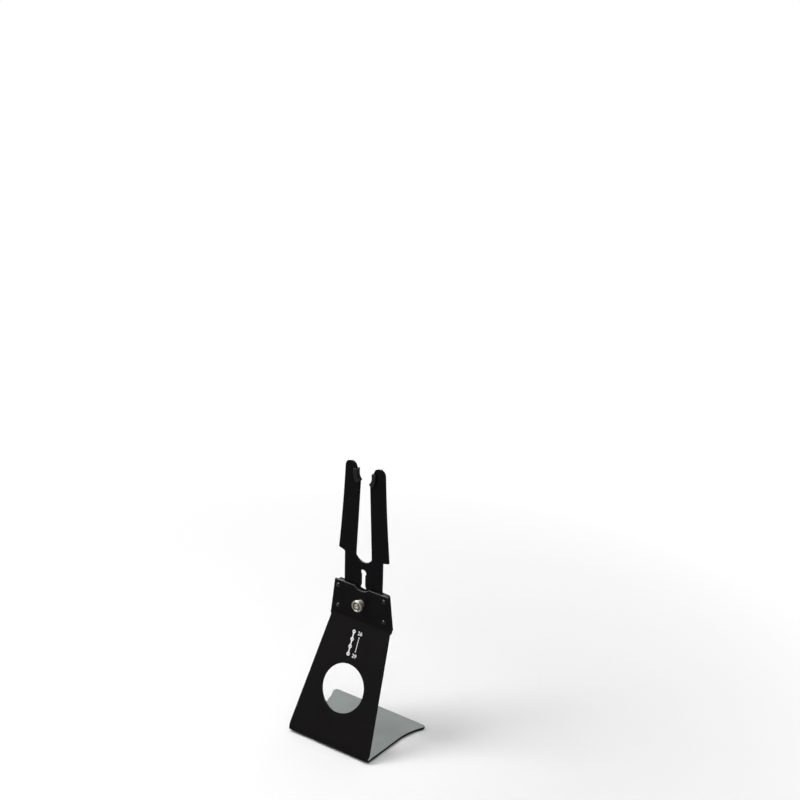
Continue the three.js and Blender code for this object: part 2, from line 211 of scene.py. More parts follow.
def merged_copy(node: str, name: str) -> bpy.types.Object:
    """Copy of a CAD node as one clean mesh, with flat faces whole.

    Args:
        node: The CAD node's name.
        name: The copy's name.

    Returns:
        The new piece.
    """
    obj = bpy.data.objects.new(name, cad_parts[node].data.copy())
    obj.data.name = name
    bpy.context.scene.collection.objects.link(obj)
    with editing(obj):
        bpy.ops.mesh.customdata_custom_splitnormals_clear()
        bpy.ops.mesh.select_all(action="SELECT")
        bpy.ops.mesh.remove_doubles(threshold=MICRON)
        bpy.ops.mesh.dissolve_limited(angle_limit=FLAT_ANGLE)
    return obj


def carried_over(node: str, name: str, edge: float, segments: int = 3) -> bpy.types.Object:
    """Clean copy of a CAD node with its edges rounded.

    Args:
        node: The CAD node's name.
        name: The piece's name.
        edge: Width that the rounding takes from each side.
        segments: Steps in the rounding.

    Returns:
        The new piece.
    """
    obj = merged_copy(node, name)
    round_edges(obj, edge, segments)
    return obj


def set_out(first: bpy.types.Object, name: str, node: str,
            count: int) -> list[tuple[bpy.types.Object, str]]:
    """Copies a piece, modelled at its first CAD node, to the others, each copy with its own mesh.

    Args:
        first: The piece, not yet dressed.
        name: The pieces' name without its number.
        node: The CAD nodes' name without its number.
        count: How many there are.

    Returns:
        Each piece and the name of its CAD node.
    """
    pieces = [(first, f"{node}_1")]
    for number in range(2, count + 1):
        place = f"{node}_{number}"
        obj = bpy.data.objects.new(f"{name}_{number}", first.data.copy())
        obj.data.name = obj.name
        bpy.context.scene.collection.objects.link(obj)
        obj.data.transform(Matrix.Translation(middle_of(place) - middle_of(f"{node}_1")))
        pieces.append((obj, place))
    return pieces


def turned(name: str, profile: Profile, centre: Vector, closed: bool = False,
           steps: int = 96) -> bpy.types.Object:
    """Turned piece about a line along Y, spun from its profile.

    Args:
        name: The piece's name.
        profile: (radius, y) corners from the front inwards.
        centre: A point on the line; its y is left out.
        closed: True for a ring, whose profile ends where it starts.
        steps: Facets round the piece.

    Returns:
        The new piece.
    """
    axis = Vector((centre.x, 0, centre.z))
    corners = [axis + Vector((radius, y, 0)) for radius, y in profile]
    bpy.ops.object.select_all(action="DESELECT")
    bpy.ops.mesh.primitive_plane_add(size=MM, location=corners[0])
    obj = new_piece(name)
    with editing(obj):
        bpy.ops.mesh.select_all(action="SELECT")
        bpy.ops.mesh.merge(type="CENTER")
        for here, ahead in zip(corners, corners[1:] + (corners[:1] if closed else [])):
            bpy.ops.mesh.extrude_vertices_move(TRANSFORM_OT_translate={"value": ahead - here})
        bpy.ops.mesh.select_all(action="SELECT")
        bpy.ops.mesh.remove_doubles(threshold=MICRON)
        bpy.ops.mesh.spin(steps=steps, angle=2 * math.pi, center=axis, axis=(0, 1, 0))
        bpy.ops.mesh.select_all(action="SELECT")
        bpy.ops.mesh.remove_doubles(threshold=MICRON)
        bpy.ops.mesh.normals_make_consistent(inside=False)
    return obj


def middle_of(node: str) -> Vector:
    """Centre of a CAD node's box."""
    low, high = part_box(node)
    return (low + high) / 2


def head_face() -> float:
    """Y of the head's front face, into which the bush's spigot goes."""
    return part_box("plunger_bush")[1].y - SPIGOT_DEPTH


def mark(mesh: bpy.types.Mesh, name: str, values: Sequence[float]) -> None:
    """Writes one value for each vertex as a mesh attribute."""
    mesh.attributes.new(name, "FLOAT", "POINT").data.foreach_set("value", values)


def looking_up(mesh: bpy.types.Mesh, start: float) -> list[float]:
    """For each vertex, 1 where the surface looks up above a height, fading to 0 as it turns level.

    Args:
        mesh: The mesh.
        start: The height.

    Returns:
        The values.
    """
    return [min(1.0, max(0.0, UP_SLOPE * vertex.normal.z - UP_START)) if vertex.co.z > start else 0.0
            for vertex in mesh.vertices]


# Finishes


@dataclass(frozen=True)
class Mottle:
    """Patches: blobs in a metre, octaves, the noise's values where they start and are full, and stretch."""

    scale: float
    detail: float
    band: Span
    stretch: Stretch | None = None


@dataclass(frozen=True)
class Relief:
    """Fine relief: blobs in a metre, octaves, and depth."""

    scale: float
    detail: float
    depth: float


class Sheet:
    """A new material whose nodes are added and joined one by one."""

    def __init__(self, name: str) -> None:
        """Starts with a plain shader and Object coordinates.

        Args:
            name: The material's name.
        """
        self.material = bpy.data.materials.new(name)
        self.material.use_nodes = True
        self.nodes = self.material.node_tree.nodes
        self.links = self.material.node_tree.links
        self.shader = self.nodes["Principled BSDF"]
        self.place = self.nodes.new("ShaderNodeTexCoord").outputs["Object"]

    def fixed(self, **values: float) -> None:
        """Sets the shader's own sockets, named with _ for a space."""
        for name, value in values.items():
            self.shader.inputs[name.replace("_", " ")].default_value = value

    def colour(self, value: Colour) -> None:
        """Sets the shader's own colour."""
        self.shader.inputs["Base Color"].default_value = (*value, 1.0)

    def drive(self, socket: str, source: bpy.types.NodeSocket) -> None:
        """Joins a source to one of the shader's sockets."""
        self.links.new(source, self.shader.inputs[socket])

    def mapped(self, scale: Vector, about: Vector | None = None) -> bpy.types.NodeSocket:
        """Object coordinates stretched by a scale about a point.

        Args:
            scale: Factor for each axis.
            about: The point that becomes the pattern's centre.

        Returns:
            The mapped coordinates.
        """
        node = self.nodes.new("ShaderNodeMapping")
        node.inputs["Scale"].default_value = scale
        if about is not None:
            node.inputs["Location"].default_value = [-a * s for a, s in zip(about, scale)]
        self.links.new(self.place, node.inputs["Vector"])
        return node.outputs["Vector"]

    def noise(self, scale: float, detail: float = 2.0,
              place: bpy.types.NodeSocket | None = None) -> bpy.types.NodeSocket:
        """Noise between about 0.3 and 0.7.

        Args:
            scale: Blobs in a metre.
            detail: Octaves.
            place: Coordinates, if not the plain ones.

        Returns:
            The noise's value.
        """
        node = self.nodes.new("ShaderNodeTexNoise")
        node.inputs["Scale"].default_value = scale
        node.inputs["Detail"].default_value = detail
        self.links.new(place or self.place, node.inputs["Vector"])
        return node.outputs["Fac"]

    def spread(self, source: bpy.types.NodeSocket, low: float, high: float,
               to_low: float = 0.0, to_high: float = 1.0) -> bpy.types.NodeSocket:
        """Maps one range of values to another, clamped.

        Args:
            source: The values.
            low: Start of their range.
            high: Its end.
            to_low: What the start becomes.
            to_high: What the end becomes.

        Returns:
            The mapped values.
        """
        node = self.nodes.new("ShaderNodeMapRange")
        limits = {"From Min": low, "From Max": high, "To Min": to_low, "To Max": to_high}
        for socket, value in limits.items():
            node.inputs[socket].default_value = value
        self.links.new(source, node.inputs["Value"])
        return node.outputs["Result"]

    def maths(self, operation: str, first: bpy.types.NodeSocket,
              second: bpy.types.NodeSocket | float) -> bpy.types.NodeSocket:
        """One sum on two values.

        Args:
            operation: What is done, as the Math node names it.
            first: The first value.
            second: The second value, or a plain number.

        Returns:
            The result.
        """
        node = self.nodes.new("ShaderNodeMath")
        node.operation = operation
        self.links.new(first, node.inputs[0])
        if isinstance(second, bpy.types.NodeSocket):
            self.links.new(second, node.inputs[1])
        else:
            node.inputs[1].default_value = second
        return node.outputs["Value"]

    def blend(self, share: bpy.types.NodeSocket, first: bpy.types.NodeSocket | Colour,
              second: Colour) -> bpy.types.NodeSocket:
        """Colour between two others.

        Args:
            share: 0 for the first colour, 1 for the second.
            first: The first colour, joined or plain.
            second: The second colour.

        Returns:
            The mixed colour.
        """
        node = self.nodes.new("ShaderNodeMix")
        node.data_type = "RGBA"
        sockets = [s for s in node.inputs if s.type == "RGBA"]
        if isinstance(first, bpy.types.NodeSocket):
            self.links.new(first, sockets[0])
        else:
            sockets[0].default_value = (*first, 1.0)
        sockets[1].default_value = (*second, 1.0)
        self.links.new(share, node.inputs["Factor"])
        return next(s for s in node.outputs if s.type == "RGBA")

    def attribute(self, name: str) -> bpy.types.NodeSocket:
        """Value of a mesh attribute, or 0 where the mesh has none.

        Args:
            name: The attribute's name.

        Returns:
            The value.
        """
        node = self.nodes.new("ShaderNodeAttribute")
        node.attribute_name = name
        return node.outputs["Fac"]

    def height(self) -> bpy.types.NodeSocket:
        """Height above the floor.

        Returns:
            The height in metres.
        """
        node = self.nodes.new("ShaderNodeSeparateXYZ")
        self.links.new(self.place, node.inputs[0])
        return node.outputs["Z"]

    def bump(self, source: bpy.types.NodeSocket, depth: float,
             under: bpy.types.NodeSocket | None = None) -> bpy.types.NodeSocket:
        """Relief of a real depth in metres.

        Args:
            source: The height, from 0 to 1.
            depth: What 1 stands for.
            under: The normal of a coarser relief.

        Returns:
            The normal.
        """
        node = self.nodes.new("ShaderNodeBump")
        node.inputs["Strength"].default_value = 1.0
        node.inputs["Distance"].default_value = depth
        self.links.new(source, node.inputs["Height"])
        if under is not None:
            self.links.new(under, node.inputs["Normal"])
        return node.outputs["Normal"]

    def mottle(self, pattern: Mottle, absent: float = 0.0, full: float = 1.0) -> bpy.types.NodeSocket:
        """Uneven patches.

        Args:
            pattern: Their pattern.
            absent: The value between the patches.
            full: The value in their middle.

        Returns:
            The value at each place.
        """
        place = self.mapped(Vector(pattern.stretch)) if pattern.stretch is not None else None
        noise = self.noise(pattern.scale, pattern.detail, place)
        return self.spread(noise, *pattern.band, absent, full)

    def relief(self, pattern: Relief, under: bpy.types.NodeSocket | None = None) -> bpy.types.NodeSocket:
        """Normal of a fine relief, laid over a coarser one where that is given."""
        return self.bump(self.noise(pattern.scale, pattern.detail), pattern.depth, under)


@dataclass(frozen=True)
class Finish:
    """A finish, whose material is a new sheet that its own nodes fill."""

    def material(self, name: str) -> bpy.types.Material:
        """Makes the material.

        Args:
            name: Its name.

        Returns:
            The material.
        """
        sheet = Sheet(name)
        self.fill(sheet)
        return sheet.material

    def fill(self, sheet: Sheet) -> None:
        """Adds the finish's own nodes to the sheet."""
        raise NotImplementedError


@dataclass(frozen=True)
class PowderCoat(Finish):
    """Satin black powder coat: fine orange peel, uneven sheen, edges that wear paler, and a painted
    highlight in patches on the up-facing crest of the head's top edge.
    """

    colour: Colour = (0.0040, 0.0034, 0.0036)
    cloudy: Colour = (0.0055, 0.0048, 0.0051)
    rubbed: Colour = (0.022, 0.021, 0.020)
    # Pale colour painted on the up-facing crest of the head's top edge as a highlight.
    top_edge_highlight: Colour = (0.17, 0.168, 0.162)
    clear_sheen: float = 0.42
    cloudy_sheen: float = 0.34
    dull_sheen: float = 0.85
    specular: float = 0.022
    clouds: Mottle = Mottle(17.0, 4.0, (0.38, 0.64))
    wear: Mottle = Mottle(260.0, 4.0, (0.47, 0.62))
    highlight_patches: Mottle = Mottle(420.0, 3.0, (0.30, 0.46))
    least_highlight: float = 0.35
    peel: Relief = Relief(650.0, 1.5, 9 * MICRON)
    grain: Relief = Relief(3800.0, 2.0, 1.6 * MICRON)
    rub_below: float | None = None
    rub_fade: float = 12 * MM
    rub_gloss: float = 0.12
    rub_strength: float = 0.5
    streaks: Mottle = Mottle(1.0, 3.0, (0.54, 0.74), (900.0, 900.0, 22.0))

    def fill(self, sheet: Sheet) -> None:
        """Adds the coat's colour with its painted top-edge highlight, sheen and peel.

        Args:
            sheet: The new material's sheet.
        """
        sheet.fixed(Metallic=0.0, Specular_IOR_Level=self.specular)
        cloud = sheet.mottle(self.clouds)
        worn = sheet.maths("MULTIPLY", sheet.attribute("edge_wear"), sheet.mottle(self.wear))
        # Painted highlight: the up-facing crest of the head's top edge is coloured pale, in patches, for
        # the light that it catches.
        highlight_share = sheet.maths("MULTIPLY", sheet.attribute("top_edge_highlight"),
                              sheet.mottle(self.highlight_patches, self.least_highlight))
        colour = sheet.blend(cloud, self.colour, self.cloudy)
        colour = sheet.blend(worn, colour, self.rubbed)
        colour = sheet.blend(highlight_share, colour, self.top_edge_highlight)
        matt = sheet.maths("MULTIPLY", sheet.attribute("dull"), self.dull_sheen)
        sheen = sheet.spread(cloud, 0.0, 1.0, self.clear_sheen, self.cloudy_sheen)
        sheen = sheet.maths("MAXIMUM", sheen, matt)
        if self.rub_below is not None:
            streak = self.rub(sheet)
            colour = sheet.blend(streak, colour, self.rubbed)
            sheen = sheet.maths("SUBTRACT", sheen, sheet.maths("MULTIPLY", streak, self.rub_gloss))
        sheet.drive("Base Color", colour)
        sheet.drive("Roughness", sheen)
        sheet.drive("Normal", sheet.relief(self.grain, sheet.relief(self.peel)))

    def rub(self, sheet: Sheet) -> bpy.types.NodeSocket:
        """Faint upright streaks where the plate slides in its channel.

        Args:
            sheet: The material's sheet.

        Returns:
            The streaks' strength.
        """
        streaks = sheet.mottle(self.streaks, 0.0, self.rub_strength)
        low = sheet.spread(sheet.height(), self.rub_below - self.rub_fade, self.rub_below, 1.0, 0.0)
        return sheet.maths("MULTIPLY", streaks, low)


@dataclass(frozen=True)
class TurnedSteel(Finish):
    """Bright plated steel with the fine rings that a lathe leaves and a few hair scratches."""

    axis: Vector
    colour: Colour = (0.27, 0.262, 0.238)
    tarnish: Colour = (0.21, 0.200, 0.172)
    # Dark colour painted in the knob's groove and dimple as shade.
    recess_shade: Colour = (0.075, 0.062, 0.042)
    gloss: Span = (0.40, 0.48)
    grain: float = 0.8
    grain_turn: float = 0.25
    patches: Mottle = Mottle(900.0, 3.0, (0.4, 0.66))
    shade_patches: Mottle = Mottle(1500.0, 3.0, (0.3, 0.5))
    least_shade: float = 0.55
    sheen: Mottle = Mottle(900.0, 2.0, (0.35, 0.65))
    ring_pitch: float = 0.16 * MM
    ring_depth: float = 1.2 * MICRON
    ring_wobble: float = 0.6
    scratches: Mottle = Mottle(1.0, 2.0, (0.62, 0.7), (5200.0, 300.0, 700.0))
    scratch_depth: float = 0.7 * MICRON

    def fill(self, sheet: Sheet) -> None:
        """Adds the steel's colour, painted shade in its recesses, gloss, rings and scratches.

        Args:
            sheet: The new material's sheet.
        """
        sheet.fixed(Metallic=1.0, Anisotropic=self.grain, Anisotropic_Rotation=self.grain_turn)
        sheet.drive("Tangent", self.round_the_axis(sheet))
        bare = sheet.blend(sheet.mottle(self.patches), self.colour, self.tarnish)
        # Painted shade: the knob's groove and dimple are darkened, in patches, where shade falls in them.
        painted_shade = sheet.maths("MULTIPLY", sheet.attribute("recess_shade"),
                           sheet.mottle(self.shade_patches, self.least_shade))
        sheet.drive("Base Color", sheet.blend(painted_shade, bare, self.recess_shade))
        sheet.drive("Roughness", sheet.mottle(self.sheen, *self.gloss))
        rings = sheet.nodes.new("ShaderNodeTexWave")
        rings.wave_type = "RINGS"
        rings.rings_direction = "Y"
        rings.inputs["Scale"].default_value = 2 * math.pi / (WAVE_FACTOR * self.ring_pitch)
        rings.inputs["Distortion"].default_value = self.ring_wobble
        sheet.links.new(sheet.mapped(Vector((1, 1, 1)), self.axis), rings.inputs["Vector"])
        turning = sheet.bump(rings.outputs["Fac"], self.ring_depth)
        sheet.drive("Normal", sheet.bump(sheet.mottle(self.scratches), self.scratch_depth, turning))

    def round_the_axis(self, sheet: Sheet) -> bpy.types.NodeSocket:
        """Direction of the lathe's marks, round the piece's line.

        Args:
            sheet: The material's sheet.

        Returns:
            The direction at each place.
        """
        across = sheet.nodes.new("ShaderNodeVectorMath")
        across.operation = "CROSS_PRODUCT"
        sheet.links.new(sheet.mapped(Vector((1, 1, 1)), self.axis), across.inputs[0])
        across.inputs[1].default_value = (0, 1, 0)
        unit = sheet.nodes.new("ShaderNodeVectorMath")
        unit.operation = "NORMALIZE"
        sheet.links.new(across.outputs["Vector"], unit.inputs[0])
        return unit.outputs["Vector"]


@dataclass(frozen=True)
class BlackSteel(Finish):
    """Blackened steel of the rivets: smooth and glossy, a little uneven, paler where rubbed."""

    colour: Colour = (0.0050, 0.0049, 0.0052)
    bare: Colour = (0.055, 0.053, 0.050)
    gloss: Span = (0.11, 0.17)
    specular: float = 0.16
    wear: Mottle = Mottle(700.0, 3.0, (0.5, 0.65))
    sheen: Mottle = Mottle(420.0, 3.0, (0.35, 0.65))
    grain: Relief = Relief(2600.0, 3.0, 1.5 * MICRON)

    def fill(self, sheet: Sheet) -> None:
        """Adds the steel's colour, gloss and grain.

        Args:
            sheet: The new material's sheet.
        """
        sheet.fixed(Metallic=0.0, Specular_IOR_Level=self.specular)
        worn = sheet.maths("MULTIPLY", sheet.attribute("edge_wear"), sheet.mottle(self.wear))
        sheet.drive("Base Color", sheet.blend(worn, self.colour, self.bare))
        sheet.drive("Roughness", sheet.mottle(self.sheen, *self.gloss))
        sheet.drive("Normal", sheet.relief(self.grain))


@dataclass(frozen=True)
class SpringSteel(Finish):
    """Oiled spring wire with small brown stains."""

    colour: Colour = (0.33, 0.34, 0.35)
    brown: Colour = (0.20, 0.165, 0.12)
    gloss: Span = (0.26, 0.42)
    stains: Mottle = Mottle(500.0, 3.0, (0.45, 0.7))
    grain: Relief = Relief(3200.0, 2.0, 1.5 * MICRON)

    def fill(self, sheet: Sheet) -> None:
        """Adds the wire's colour, gloss and grain.

        Args:
            sheet: The new material's sheet.
        """
        sheet.fixed(Metallic=1.0)
        stain = sheet.mottle(self.stains)
        sheet.drive("Base Color", sheet.blend(stain, self.colour, self.brown))
        sheet.drive("Roughness", sheet.spread(stain, 0.0, 1.0, *self.gloss))
        sheet.drive("Normal", sheet.relief(self.grain))


@dataclass(frozen=True)
class Rubber(Finish):
    """Black moulded rubber: matt, finely pebbled, greyed on its edges."""

    colour: Colour = (0.0060, 0.0058, 0.0056)
    bloom: Colour = (0.0125, 0.0122, 0.0118)
    edge_bloom: float = 0.5
    gloss: Span = (0.62, 0.82)
    specular: float = 0.06
    dust: Mottle = Mottle(140.0, 5.0, (0.46, 0.68))
    pebble: Relief = Relief(1900.0, 2.0, 12 * MICRON)
    grain: Relief = Relief(7000.0, 2.0, 3 * MICRON)

    def fill(self, sheet: Sheet) -> None:
        """Adds the rubber's colour, bloom and pebbling.

        Args:
            sheet: The new material's sheet.
        """
        sheet.fixed(Metallic=0.0, Specular_IOR_Level=self.specular)
        dusty = sheet.mottle(self.dust)
        edges = sheet.maths("MULTIPLY", sheet.attribute("edge_wear"), self.edge_bloom)
        rubbed = sheet.maths("MAXIMUM", dusty, edges)
        sheet.drive("Base Color", sheet.blend(rubbed, self.colour, self.bloom))
        sheet.drive("Roughness", sheet.spread(dusty, 0.0, 1.0, *self.gloss))
        sheet.drive("Normal", sheet.relief(self.grain, sheet.relief(self.pebble)))


@dataclass(frozen=True)
class WhiteInk(Finish):
    """White printing ink, thin enough to show the coat's grain and a few pinholes."""

    colour: Colour = (0.74, 0.74, 0.72)
    thin: Colour = (0.40, 0.40, 0.39)
    gloss: Span = (0.46, 0.6)
    specular: float = 0.3
    pinholes: Mottle = Mottle(2200.0, 4.0, (0.56, 0.72))
    peel: Relief = Relief(650.0, 1.5, 9 * MICRON)

    def fill(self, sheet: Sheet) -> None:
        """Adds the ink's colour, gloss and the peel that shows through.

        Args:
            sheet: The new material's sheet.
        """
        sheet.fixed(Metallic=0.0, Specular_IOR_Level=self.specular)
        thin = sheet.mottle(self.pinholes)
        sheet.drive("Base Color", sheet.blend(thin, self.colour, self.thin))
        sheet.drive("Roughness", sheet.spread(thin, 0.0, 1.0, *self.gloss))
        sheet.drive("Normal", sheet.relief(self.peel))


def dress(obj: bpy.types.Object, material: bpy.types.Material, body: Body,
          nodes: Sequence[str] = ()) -> None:
    """Gives a piece its material, its body and what it stands for.

    Args:
        obj: The finished piece.
        material: Its material.
        body: The CAD body that it rides on.
        nodes: The CAD nodes that it replaces.
    """
    obj.data.materials.clear()
    obj.data.materials.append(material)
    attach(obj, body.value)
    if nodes:
        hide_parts(*nodes)
    LOG.info("piece %s rides on %s", obj.name, body.value)


# Sub-assemblies


@dataclass
class BentBracket:
    """Floor plate, leaning front plate and upright head, bent from one sheet."""

    edge: float = 0.7 * MM
    # How far below the top the painted highlight on the top edge's crest reaches.
    highlight_depth: float = 5.8 * MM
    top_dullness: float = 0.75
    coat: PowderCoat = field(default_factory=PowderCoat)

    def build(self) -> None:
        """Rounds the sheet's cut edges and coats it."""
        sheet = carried_over("base_bracket", "bent_bracket", self.edge)
        self.mark_top(sheet.data)
        dress(sheet, self.coat.material("bracket_coat"), Body.FRAME, ["base_bracket"])

    def mark_top(self, mesh: bpy.types.Mesh) -> None:
        """Writes the painted highlight on the up-facing crest of the head's top edge, and dull, its matt
        cut face.

        Args:
            mesh: The bracket's mesh, with its wear marked.
        """
        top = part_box("base_bracket")[1].z
        # Mask of the painted highlight: rounded crests that face up near the top.
        upward = looking_up(mesh, top - self.highlight_depth)
        worn = [crest.value for crest in mesh.attributes["edge_wear"].data]
        mark(mesh, "top_edge_highlight", [share * crest for share, crest in zip(upward, worn)])
        mark(mesh, "dull", [share if vertex.co.z < top - self.edge else share * self.top_dullness
                            for share, vertex in zip(upward, mesh.vertices)])


@dataclass
class GuideChannel:
    """Guide strips and cover behind the head, and the four rivets through them."""

    strip_edge: float = 0.25 * MM
    cover_edge: float = 0.4 * MM
    rivet_edge: float = 0.2 * MM
    rivets: int = 4
    rivet_facets: int = 48
    shank_radius: float = 1.7 * MM
    head_radius: float = 3.4 * MM
    flange: float = 0.35 * MM
    dome_steps: int = 8
    tail_height: float = 1.2 * MM
    coat: PowderCoat = field(default_factory=PowderCoat)
    steel: BlackSteel = field(default_factory=BlackSteel)

    def build(self) -> None:
        """Builds the strips, the cover and the rivets."""
        coat = self.coat.material("channel_coat")
        for side in Side:
            self.coated(f"guide_strip_{side.value}", f"guide_{side.value}", self.strip_edge, coat)
        self.coated("cover_plate", "rear_cover", self.cover_edge, coat)
        steel = self.steel.material("rivet_steel")
        first = self.rivet("stack_rivet_1", "rivet_1")
        for rivet, node in set_out(first, "stack_rivet", "rivet", self.rivets):
            dress(rivet, steel, Body.FRAME, [node])

    def coated(self, node: str, name: str, edge: float, coat: bpy.types.Material) -> None:
        """Flat piece of the channel, powder-coated, with a matt cut face on top.

        Args:
            node: The CAD node that it replaces.
            name: The piece's name.
            edge: Rounding of its edges.
            coat: Its material.
        """
        obj = carried_over(node, name, edge)
        mark(obj.data, "dull", looking_up(obj.data, middle_of(node).z))
        dress(obj, coat, Body.FRAME, [node])

    def rivet(self, name: str, node: str) -> bpy.types.Object:
        """Button-head rivet with a thin flange in front and a pressed tail behind.

        Args:
            name: The piece's name.
            node: The CAD node at its place.

        Returns:
            The rivet, not yet dressed.
        """
        low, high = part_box(node)
        height = head_face() - SEAT_GAP - low.y
        rise = height - self.flange
        sphere = (self.head_radius ** 2 + rise ** 2) / (2 * rise)
        sweep = math.asin(self.head_radius / sphere)
        dome = []
        for step in range(self.dome_steps + 1):
            angle = sweep * step / self.dome_steps
            dome.append((sphere * math.sin(angle), low.y + sphere * (1 - math.cos(angle))))
        tail = high.y - self.tail_height
        profile = [
            *dome,
            (self.head_radius, low.y + height),
            (self.shank_radius, low.y + height),
            (self.shank_radius, tail),
            (self.head_radius, tail),
            (self.head_radius, high.y),
            (0.0, high.y),
        ]
        obj = turned(name, profile, middle_of(node), steps=self.rivet_facets)
        round_edges(obj, self.rivet_edge, segments=2, over=TURNED_ANGLE)
        return obj


@dataclass
class SlidingFork:
    """Fork plate with its lobed slot and two prongs, and the rubber guards in its seat."""

    edge: float = 0.5 * MM
    pad_edge: float = 0.55 * MM
    rub_height: float = 36 * MM

    def build(self) -> None:
        """Builds the plate and its two guards."""
        coat = PowderCoat(colour=(0.0026, 0.0026, 0.0033), cloudy=(0.0037, 0.0037, 0.0045),
                          rub_below=middle_of("pull_knob").z + self.rub_height)
        plate = carried_over("fork_plate", "fork_sheet", self.edge)
        dress(plate, coat.material("fork_coat"), Body.FORK, ["fork_plate"])
        rubber = Rubber().material("pad_rubber")
        for side in Side:
            node = f"saddle_pad_{side.value}"
            pad = carried_over(node, f"seat_guard_{side.value}", self.pad_edge)
            dress(pad, rubber, Body.FORK, [node])


